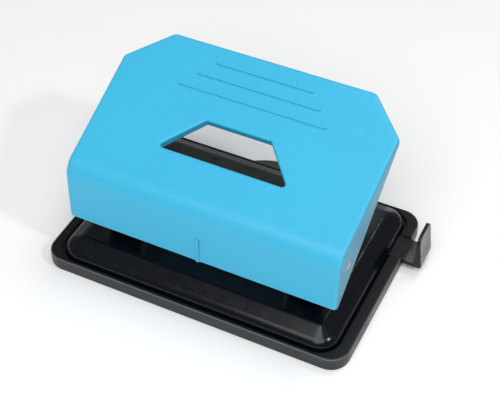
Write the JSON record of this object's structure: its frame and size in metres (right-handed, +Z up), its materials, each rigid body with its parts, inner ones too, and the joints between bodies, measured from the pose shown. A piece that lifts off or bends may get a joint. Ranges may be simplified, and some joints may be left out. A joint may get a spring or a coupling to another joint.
{
  "type": "hole punch",
  "caption": "Two-hole desk paper punch with a tilted plastic lever hood, sprung punches on a pressed steel base, a chip tray and a sliding paper gauge.",
  "frame": {"origin": "on the underside of the chip tray, midway between the two punches across the width and midway along the base's depth", "axes": "+X to the right along the hinge axle, +Y from the paper's side towards the press end of the lever, +Z up"},
  "size_m": [0.1385, 0.0945, 0.0707],
  "materials": {
    "hood_plastic": "satin cyan, finely grained",
    "black_enamel": "glossy black enamel on pressed steel",
    "tray_plastic": "semi-matt black moulding",
    "gauge_plastic": "semi-matt black moulding",
    "plated_steel": "zinc-plated sheet, dull",
    "tool_steel": "ground and hardened",
    "axle_steel": "dull yellowish plating",
    "spring_steel": "bare spring steel"
  },
  "bodies": {
    "base": {"base_plate": "black_enamel", "bracket_rivets": "plated_steel", "guide_rivets": "black_enamel", "gauge_guide": "gauge_plastic", "gauge_detent_spring": "spring_steel", "left_punch_bracket": "plated_steel", "left_punch_guide": "plated_steel", "left_die": "tool_steel", "left_return_spring": "spring_steel", "right_punch_bracket": "plated_steel", "right_punch_guide": "plated_steel", "right_die": "tool_steel", "right_return_spring": "spring_steel"},
    "tray": {"chip_tray": "tray_plastic"},
    "lever": {"lever_hood": "hood_plastic", "hinge_axle": "axle_steel", "left_axle_clip": "spring_steel", "right_axle_clip": "spring_steel"},
    "left_punch": {"left_punch_pin": "tool_steel", "left_spring_clip": "spring_steel"},
    "right_punch": {"right_punch_pin": "tool_steel", "right_spring_clip": "spring_steel"},
    "gauge": {"paper_gauge": "gauge_plastic"}
  },
  "joints": [
    {"name": "lever_press", "type": "hinge", "parent": "base", "child": "lever", "pos_m": [0, -0.0232, 0.037], "axis": [-1, 0, 0], "range_deg": [0, 22], "stiffness_Nm_per_rad": 0.5, "springref_deg": -17.19},
    {"name": "left_punch_slide", "type": "slide", "parent": "base", "child": "left_punch", "axis": [0, 0, -1], "range_m": [0, 0.005], "deforming": ["left_return_spring"]},
    {"name": "right_punch_slide", "type": "slide", "parent": "base", "child": "right_punch", "axis": [0, 0, -1], "range_m": [0, 0.005], "deforming": ["right_return_spring"]},
    {"name": "gauge_slide", "type": "slide", "parent": "base", "child": "gauge", "axis": [1, 0, 0], "range_m": [-0.0054, 0.0777]},
    {"name": "tray_removal", "type": "slide", "parent": "tray", "child": "base", "axis": [0, 0, 1], "range_m": [0, 0.02]}
  ],
  "couplings": [
    {"joint": "left_punch_slide", "follows": "lever_press", "m_per_rad": 0.013},
    {"joint": "right_punch_slide", "follows": "lever_press", "m_per_rad": 0.013}
  ]
}
